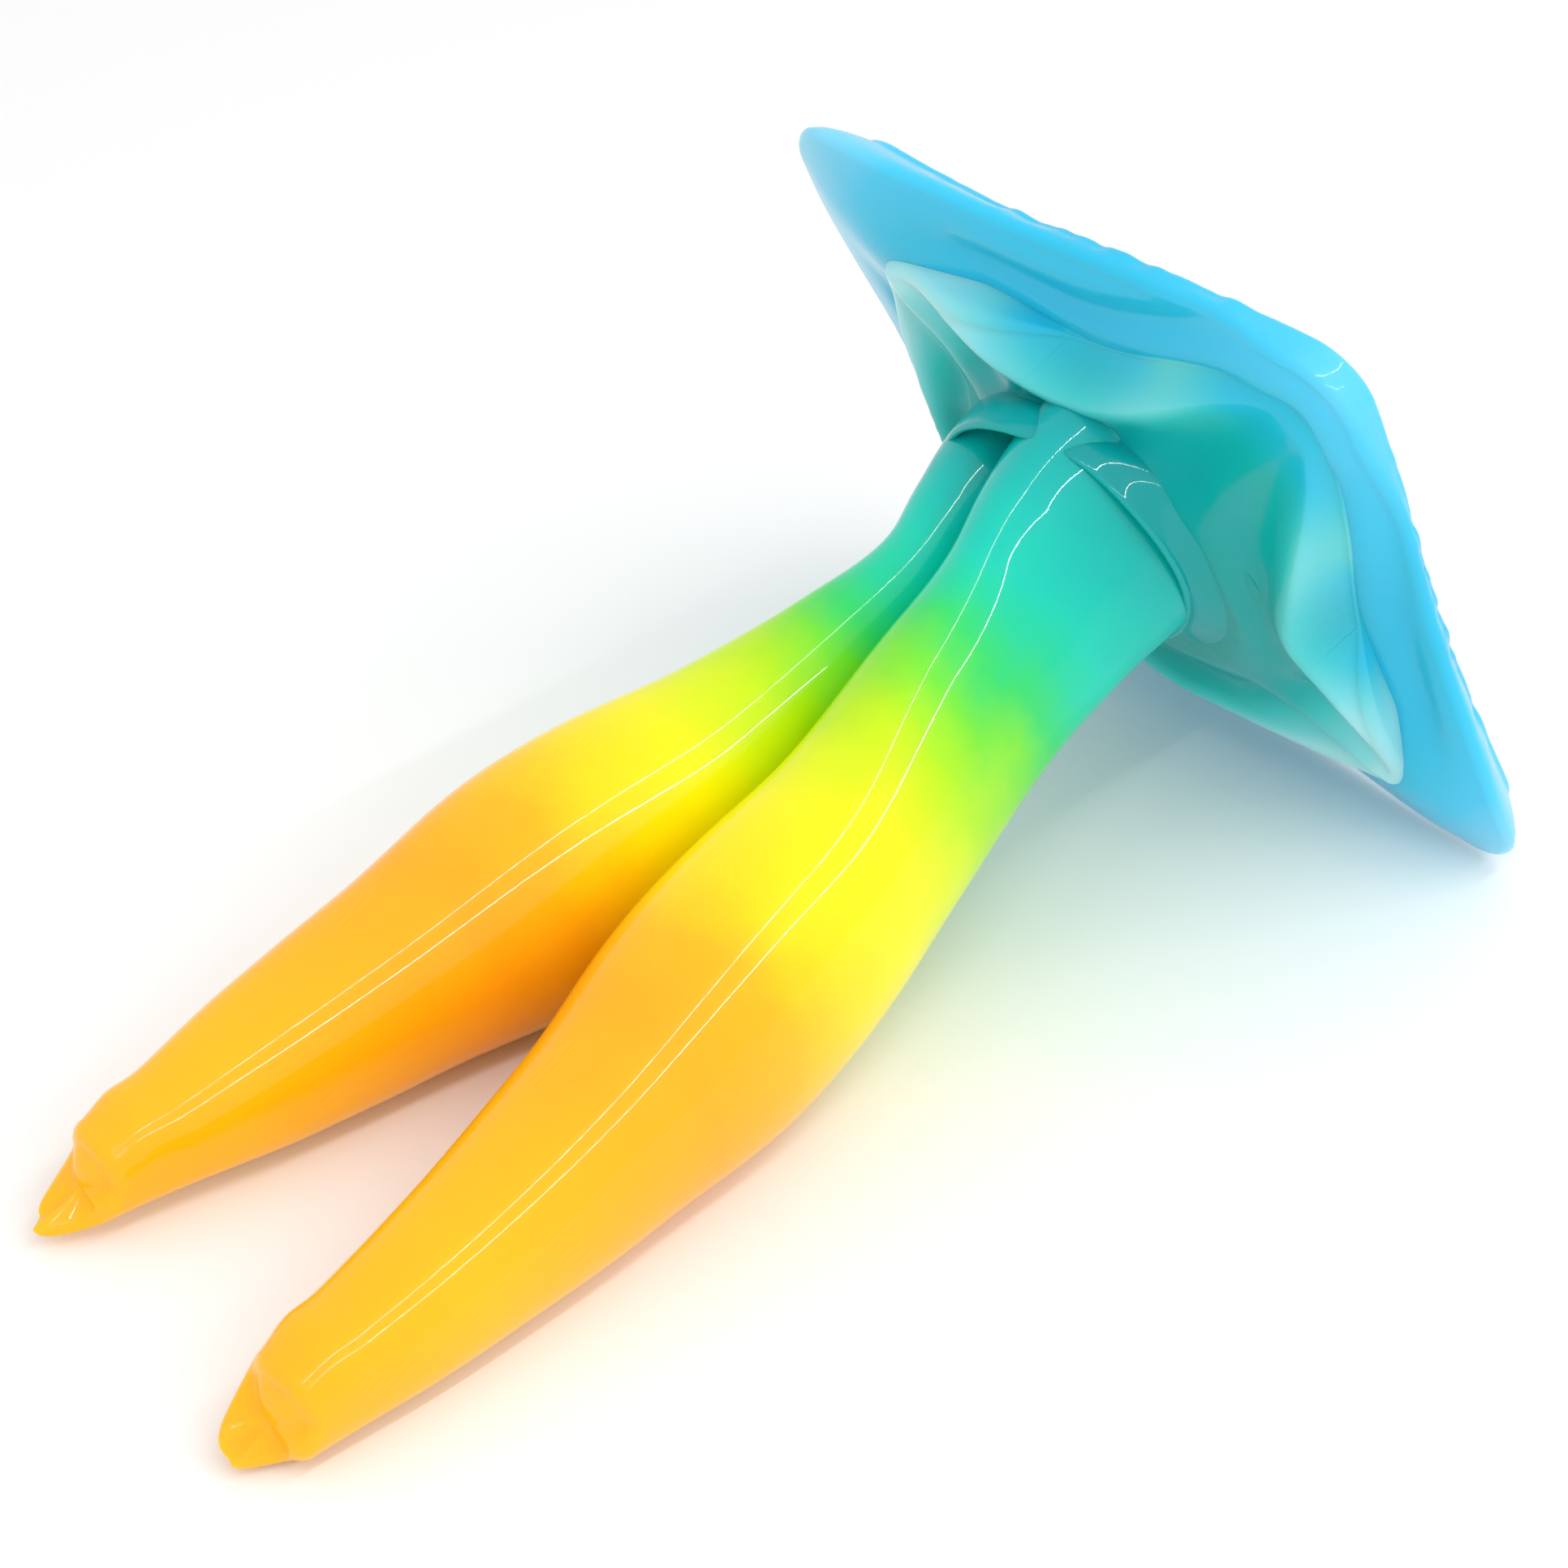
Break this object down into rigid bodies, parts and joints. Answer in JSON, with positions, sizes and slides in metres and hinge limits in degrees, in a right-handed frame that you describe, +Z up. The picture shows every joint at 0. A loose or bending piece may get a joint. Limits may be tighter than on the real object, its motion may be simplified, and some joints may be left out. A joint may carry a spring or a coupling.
{
  "type": "soft silicone double arm on a star base",
  "caption": "Soft cast silicone body of two tapering, bulging arms that rise from a lobed collar on a flat-backed star base.",
  "frame": {"origin": "middle of the bounding box on the floor that the object lies on", "axes": "+Z up from the floor, arms along -Y, star base at +Y, +X to the right arm's side"},
  "size_m": [0.102, 0.1992, 0.0942],
  "materials": {
    "star_blue": "glossy cast silicone, slightly translucent",
    "web_teal": "glossy cast silicone, slightly translucent",
    "leaf_pale": "glossy cast silicone, slightly translucent",
    "skirt_teal": "glossy cast silicone, slightly translucent",
    "collar_teal": "glossy cast silicone, slightly translucent",
    "pour_teal": "glossy cast silicone, slightly translucent",
    "pour_green": "glossy cast silicone, slightly translucent",
    "pour_lime": "glossy cast silicone, slightly translucent",
    "pour_yellow": "glossy cast silicone, slightly translucent",
    "pour_orange": "glossy cast silicone, slightly translucent",
    "pour_amber": "glossy cast silicone, slightly translucent"
  },
  "bodies": {
    "star_base": {"star_pad": "star_blue", "leaf_ring": "web_teal", "skirt": "skirt_teal", "collar": "collar_teal", "right_arm_root": "pour_teal", "left_arm_root": "pour_teal"},
    "right_arm_base": {"right_arm_green": "pour_green", "right_arm_lime": "pour_lime", "right_arm_yellow": "pour_yellow"},
    "right_arm_middle": {"right_arm_orange": "pour_orange"},
    "right_arm_end": {"right_arm_tip": "pour_amber"},
    "left_arm_base": {"left_arm_green": "pour_green", "left_arm_lime": "pour_lime", "left_arm_yellow": "pour_yellow"},
    "left_arm_middle": {"left_arm_orange": "pour_orange"},
    "left_arm_end": {"left_arm_tip": "pour_amber"},
    "lower_right_point": {"lower_right_point": "star_blue"},
    "lower_right_leaf": {"lower_right_leaf": "leaf_pale"},
    "upper_right_point": {"upper_right_point": "star_blue"},
    "upper_right_leaf": {"upper_right_leaf": "leaf_pale"},
    "upper_left_point": {"upper_left_point": "star_blue"},
    "upper_left_leaf": {"upper_left_leaf": "leaf_pale"},
    "lower_left_point": {"lower_left_point": "star_blue"},
    "lower_left_leaf": {"lower_left_leaf": "leaf_pale"}
  },
  "joints": [
    {"name": "right_arm_spread", "type": "hinge", "parent": "star_base", "child": "right_arm_base", "pos_m": [0.0063, 0.0418, 0.04412], "axis": [-0.3944, -0.4107, 0.8221], "range_deg": [0, 18], "stiffness_Nm_per_rad": 0.25},
    {"name": "right_arm_lift", "type": "hinge", "parent": "right_arm_base", "child": "right_arm_middle", "pos_m": [0.01263, -0.0137, 0.01974], "axis": [-0.9909, -0.1345, 0], "range_deg": [0, 28], "stiffness_Nm_per_rad": 0.16},
    {"name": "right_arm_curl", "type": "hinge", "parent": "right_arm_middle", "child": "right_arm_end", "pos_m": [0.02027, -0.0617, 0.01137], "axis": [-0.9912, -0.1322, 0], "range_deg": [0, 32], "stiffness_Nm_per_rad": 0.06},
    {"name": "left_arm_spread", "type": "hinge", "parent": "star_base", "child": "left_arm_base", "pos_m": [-0.00743, 0.0418, 0.03754], "axis": [0.4094, 0.3224, -0.8535], "range_deg": [0, 18], "stiffness_Nm_per_rad": 0.25},
    {"name": "left_arm_lift", "type": "hinge", "parent": "left_arm_base", "child": "left_arm_middle", "pos_m": [-0.02033, -0.0137, 0.01863], "axis": [-0.9927, 0.121, 0], "range_deg": [0, 28], "stiffness_Nm_per_rad": 0.16},
    {"name": "left_arm_curl", "type": "hinge", "parent": "left_arm_middle", "child": "left_arm_end", "pos_m": [-0.02337, -0.0617, 0.01123], "axis": [-0.9992, 0.0405, 0], "range_deg": [0, 32], "stiffness_Nm_per_rad": 0.06},
    {"name": "lower_right_point_flex", "type": "hinge", "parent": "star_base", "child": "lower_right_point", "pos_m": [0.0297, 0.08794, 0.0211], "axis": [0.7071, -0.3055, 0.6377], "range_deg": [0, 25], "stiffness_Nm_per_rad": 0.3},
    {"name": "lower_right_leaf_flex", "type": "hinge", "parent": "star_base", "child": "lower_right_leaf", "pos_m": [0.01874, 0.0754, 0.02725], "axis": [-0.7071, 0.3055, -0.6377], "range_deg": [0, 20], "stiffness_Nm_per_rad": 0.08},
    {"name": "upper_right_point_flex", "type": "hinge", "parent": "star_base", "child": "upper_right_point", "pos_m": [0.0297, 0.06227, 0.07467], "axis": [-0.7071, -0.3055, 0.6377], "range_deg": [0, 25], "stiffness_Nm_per_rad": 0.3},
    {"name": "upper_right_leaf_flex", "type": "hinge", "parent": "star_base", "child": "upper_right_leaf", "pos_m": [0.01874, 0.05921, 0.06105], "axis": [0.7071, 0.3055, -0.6377], "range_deg": [0, 20], "stiffness_Nm_per_rad": 0.08},
    {"name": "upper_left_point_flex", "type": "hinge", "parent": "star_base", "child": "upper_left_point", "pos_m": [-0.0297, 0.06227, 0.07467], "axis": [-0.7071, 0.3055, -0.6377], "range_deg": [0, 25], "stiffness_Nm_per_rad": 0.3},
    {"name": "upper_left_leaf_flex", "type": "hinge", "parent": "star_base", "child": "upper_left_leaf", "pos_m": [-0.01874, 0.05921, 0.06105], "axis": [0.7071, -0.3055, 0.6377], "range_deg": [0, 20], "stiffness_Nm_per_rad": 0.08},
    {"name": "lower_left_point_flex", "type": "hinge", "parent": "star_base", "child": "lower_left_point", "pos_m": [-0.0297, 0.08794, 0.0211], "axis": [0.7071, 0.3055, -0.6377], "range_deg": [0, 25], "stiffness_Nm_per_rad": 0.3},
    {"name": "lower_left_leaf_flex", "type": "hinge", "parent": "star_base", "child": "lower_left_leaf", "pos_m": [-0.01874, 0.0754, 0.02725], "axis": [-0.7071, -0.3055, 0.6377], "range_deg": [0, 20], "stiffness_Nm_per_rad": 0.08}
  ]
}
